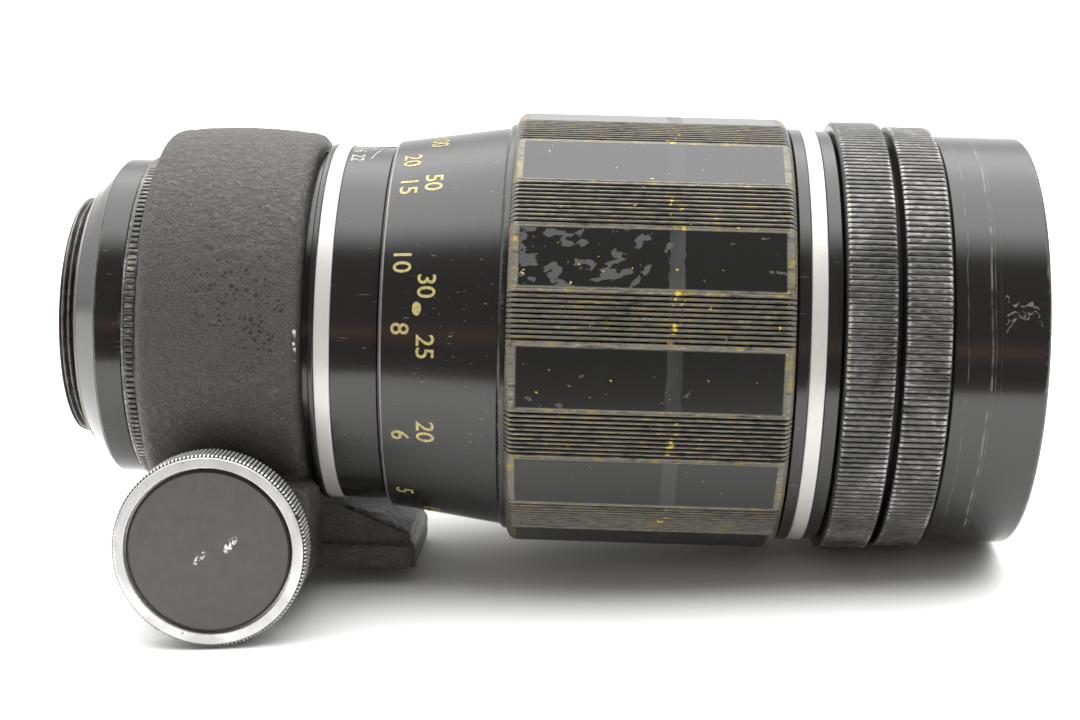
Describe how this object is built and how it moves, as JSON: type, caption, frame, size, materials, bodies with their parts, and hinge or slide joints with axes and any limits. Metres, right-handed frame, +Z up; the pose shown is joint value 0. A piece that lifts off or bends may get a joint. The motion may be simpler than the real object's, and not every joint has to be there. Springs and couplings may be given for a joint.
{
  "type": "telephoto camera lens",
  "caption": "Long-focus screw-mount camera lens with turning focus ring, sliding front barrel, two knurled iris rings, and a tripod collar clamped by a side knob.",
  "frame": {"origin": "on the optical axis at the flange face of the screw mount", "axes": "+X along the optical axis to the front glass, +Z up, foot at the bottom, clamp knob on -Y"},
  "size_m": [0.164, 0.0775, 0.0873],
  "materials": {
    "black_enamel": "gloss black enamel, worn to brass at the edges",
    "crackle_black": "semi-matt black crackle paint",
    "satin_aluminium": "satin turned aluminium",
    "chrome": "bright chrome",
    "anodised_black": "matt black anodised",
    "inlay_black": "semi-matt black",
    "coated_glass": "coated optical glass",
    "steel": "turned steel",
    "brass": "turned brass",
    "blade_steel": "blued spring steel"
  },
  "bodies": {
    "rear_barrel": {"screw_mount_ring": "black_enamel", "rear_light_baffle": "anodised_black", "rear_collar_ring": "black_enamel", "serrated_lock_ring": "black_enamel", "main_tube": "satin_aluminium", "collar_stop_ring": "black_enamel", "rear_satin_ring": "satin_aluminium", "depth_scale_ring": "black_enamel", "guide_keys": "brass", "guide_key_screws": "steel", "focus_retaining_ring": "satin_aluminium", "retaining_ring_screws": "steel"},
    "focus_ring": {"distance_scale_cone": "black_enamel", "step_ring": "black_enamel", "focus_grip_ring": "black_enamel", "helicoid_nut": "brass", "grip_set_screws": "steel", "focus_stop_pin": "steel"},
    "lens_barrel": {"inner_barrel": "anodised_black", "front_dark_ring": "black_enamel", "front_satin_ring": "satin_aluminium", "index_ring": "black_enamel", "detent_ball": "steel", "detent_spring": "steel", "front_barrel": "black_enamel", "front_trim_ring": "anodised_black", "front_cell": "anodised_black", "front_retaining_ring": "anodised_black", "glass_spacer": "anodised_black", "front_glass": "coated_glass", "second_glass": "coated_glass", "iris_housing": "anodised_black", "iris_retaining_ring": "anodised_black", "rear_cell_tube": "anodised_black", "third_glass": "coated_glass", "fourth_glass": "coated_glass", "rear_retaining_ring": "anodised_black"},
    "preset_ring": {"preset_ring": "black_enamel"},
    "aperture_ring": {"aperture_ring": "black_enamel", "iris_cam_ring": "brass", "iris_drive_pin": "steel"},
    "tripod_collar": {"tripod_collar": "crackle_black", "tripod_socket_insert": "steel", "clamp_washer": "steel"},
    "clamp_knob": {"clamp_knob": "chrome", "knob_inlay": "inlay_black", "clamp_screw": "steel"},
    "blade_01": {"iris_blade_01": "blade_steel"},
    "blade_02": {"iris_blade_02": "blade_steel"},
    "blade_03": {"iris_blade_03": "blade_steel"},
    "blade_04": {"iris_blade_04": "blade_steel"},
    "blade_05": {"iris_blade_05": "blade_steel"},
    "blade_06": {"iris_blade_06": "blade_steel"},
    "blade_07": {"iris_blade_07": "blade_steel"},
    "blade_08": {"iris_blade_08": "blade_steel"},
    "blade_09": {"iris_blade_09": "blade_steel"},
    "blade_10": {"iris_blade_10": "blade_steel"},
    "blade_11": {"iris_blade_11": "blade_steel"},
    "blade_12": {"iris_blade_12": "blade_steel"}
  },
  "joints": [
    {"name": "focus_turn", "type": "hinge", "parent": "rear_barrel", "child": "focus_ring", "pos_m": [0.0967, 0, 0], "axis": [-1, 0, 0], "range_deg": [0, 330]},
    {"name": "barrel_slide", "type": "slide", "parent": "rear_barrel", "child": "lens_barrel", "axis": [1, 0, 0], "range_m": [0, 0.0174]},
    {"name": "preset_turn", "type": "hinge", "parent": "lens_barrel", "child": "preset_ring", "pos_m": [0.132, 0, 0], "axis": [1, 0, 0], "range_deg": [0, 60]},
    {"name": "aperture_turn", "type": "hinge", "parent": "lens_barrel", "child": "aperture_ring", "pos_m": [0.1411, 0, 0], "axis": [1, 0, 0], "range_deg": [0, 60]},
    {"name": "collar_turn", "type": "hinge", "parent": "rear_barrel", "child": "tripod_collar", "pos_m": [0.02595, 0, 0], "axis": [1, 0, 0], "continuous": true},
    {"name": "clamp_turn", "type": "hinge", "parent": "tripod_collar", "child": "clamp_knob", "pos_m": [0.0261, -0.0363, -0.0333], "axis": [0, -1, 0], "range_deg": [0, 270]},
    {"name": "blade_01_swing", "type": "hinge", "parent": "lens_barrel", "child": "blade_01", "pos_m": [0.13437, 0.0263, 0], "axis": [1, 0, 0], "range_deg": [0, 42]},
    {"name": "blade_02_swing", "type": "hinge", "parent": "lens_barrel", "child": "blade_02", "pos_m": [0.13467, 0.02278, 0.01315], "axis": [1, 0, 0], "range_deg": [0, 42]},
    {"name": "blade_03_swing", "type": "hinge", "parent": "lens_barrel", "child": "blade_03", "pos_m": [0.13498, 0.01315, 0.02278], "axis": [1, 0, 0], "range_deg": [0, 42]},
    {"name": "blade_04_swing", "type": "hinge", "parent": "lens_barrel", "child": "blade_04", "pos_m": [0.13528, 0, 0.0263], "axis": [1, 0, 0], "range_deg": [0, 42]},
    {"name": "blade_05_swing", "type": "hinge", "parent": "lens_barrel", "child": "blade_05", "pos_m": [0.13558, -0.01315, 0.02278], "axis": [1, 0, 0], "range_deg": [0, 42]},
    {"name": "blade_06_swing", "type": "hinge", "parent": "lens_barrel", "child": "blade_06", "pos_m": [0.13587, -0.02278, 0.01315], "axis": [1, 0, 0], "range_deg": [0, 42]},
    {"name": "blade_07_swing", "type": "hinge", "parent": "lens_barrel", "child": "blade_07", "pos_m": [0.13617, -0.0263, 0], "axis": [1, 0, 0], "range_deg": [0, 42]},
    {"name": "blade_08_swing", "type": "hinge", "parent": "lens_barrel", "child": "blade_08", "pos_m": [0.13648, -0.02278, -0.01315], "axis": [1, 0, 0], "range_deg": [0, 42]},
    {"name": "blade_09_swing", "type": "hinge", "parent": "lens_barrel", "child": "blade_09", "pos_m": [0.13678, -0.01315, -0.02278], "axis": [1, 0, 0], "range_deg": [0, 42]},
    {"name": "blade_10_swing", "type": "hinge", "parent": "lens_barrel", "child": "blade_10", "pos_m": [0.13708, 0, -0.0263], "axis": [1, 0, 0], "range_deg": [0, 42]},
    {"name": "blade_11_swing", "type": "hinge", "parent": "lens_barrel", "child": "blade_11", "pos_m": [0.13737, 0.01315, -0.02278], "axis": [1, 0, 0], "range_deg": [0, 42]},
    {"name": "blade_12_swing", "type": "hinge", "parent": "lens_barrel", "child": "blade_12", "pos_m": [0.13767, 0.02278, -0.01315], "axis": [1, 0, 0], "range_deg": [0, 42]}
  ],
  "couplings": [
    {"joint": "barrel_slide", "follows": "focus_turn", "m_per_rad": 0.003021},
    {"joint": "blade_01_swing", "follows": "aperture_turn", "ratio": 0.7},
    {"joint": "blade_02_swing", "follows": "aperture_turn", "ratio": 0.7},
    {"joint": "blade_03_swing", "follows": "aperture_turn", "ratio": 0.7},
    {"joint": "blade_04_swing", "follows": "aperture_turn", "ratio": 0.7},
    {"joint": "blade_05_swing", "follows": "aperture_turn", "ratio": 0.7},
    {"joint": "blade_06_swing", "follows": "aperture_turn", "ratio": 0.7},
    {"joint": "blade_07_swing", "follows": "aperture_turn", "ratio": 0.7},
    {"joint": "blade_08_swing", "follows": "aperture_turn", "ratio": 0.7},
    {"joint": "blade_09_swing", "follows": "aperture_turn", "ratio": 0.7},
    {"joint": "blade_10_swing", "follows": "aperture_turn", "ratio": 0.7},
    {"joint": "blade_11_swing", "follows": "aperture_turn", "ratio": 0.7},
    {"joint": "blade_12_swing", "follows": "aperture_turn", "ratio": 0.7}
  ]
}
